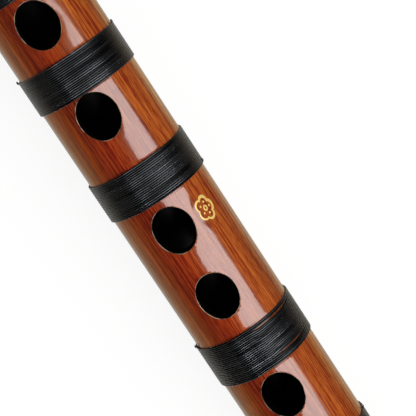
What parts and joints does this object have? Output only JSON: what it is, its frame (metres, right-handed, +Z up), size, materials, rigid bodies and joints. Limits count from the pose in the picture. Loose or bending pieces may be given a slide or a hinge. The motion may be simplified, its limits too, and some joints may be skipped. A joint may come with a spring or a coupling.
{
  "type": "dizi",
  "caption": "Side-blown bamboo flute with black thread bindings, end rings, a reed membrane and a brass slide joining its head and foot sections.",
  "frame": {"origin": "on the surface that the flute lies on, under the middle of its length", "axes": "+X along the bore from the head end to the foot end, +Z up through the finger holes, +Y across"},
  "size_m": [0.45, 0.0238, 0.0239],
  "materials": {
    "lacquered_bamboo": "glossy reddish-brown lacquer",
    "ivory_resin": "polished",
    "brass": "polished",
    "black_rubber": "greased",
    "cork": "natural",
    "reed_membrane": "thin, wrinkled",
    "black_thread": "sealed thread"
  },
  "bodies": {
    "foot_section": {"foot_tube": "lacquered_bamboo", "foot_end_ring": "ivory_resin", "socket": "brass", "binding_socket": "black_thread", "binding_holes_6_5": "black_thread", "binding_holes_5_4": "black_thread", "binding_holes_4_3": "black_thread", "binding_holes_2_1": "black_thread", "binding_hole_1": "black_thread", "binding_outlets": "black_thread", "binding_foot_end": "black_thread"},
    "seal": {"seal_ring": "black_rubber"},
    "head_section": {"head_tube": "lacquered_bamboo", "head_end_ring": "ivory_resin", "tenon": "brass", "membrane": "reed_membrane", "binding_head_end": "black_thread", "binding_head_middle": "black_thread", "binding_stopper": "black_thread", "binding_blow_hole": "black_thread", "binding_membrane": "black_thread", "binding_tenon": "black_thread"},
    "cork": {"stopper": "cork"}
  },
  "joints": [
    {"name": "tenon_slide", "type": "slide", "parent": "foot_section", "child": "seal", "axis": [-1, 0, 0], "range_m": [0, 0.021]},
    {"name": "head_turn", "type": "hinge", "parent": "seal", "child": "head_section", "pos_m": [-0.012, 0, 0.01194], "axis": [1, 0, 0], "continuous": true},
    {"name": "stopper_slide", "type": "slide", "parent": "head_section", "child": "cork", "axis": [1, 0, 0], "range_m": [-0.004, 0.0015]}
  ]
}
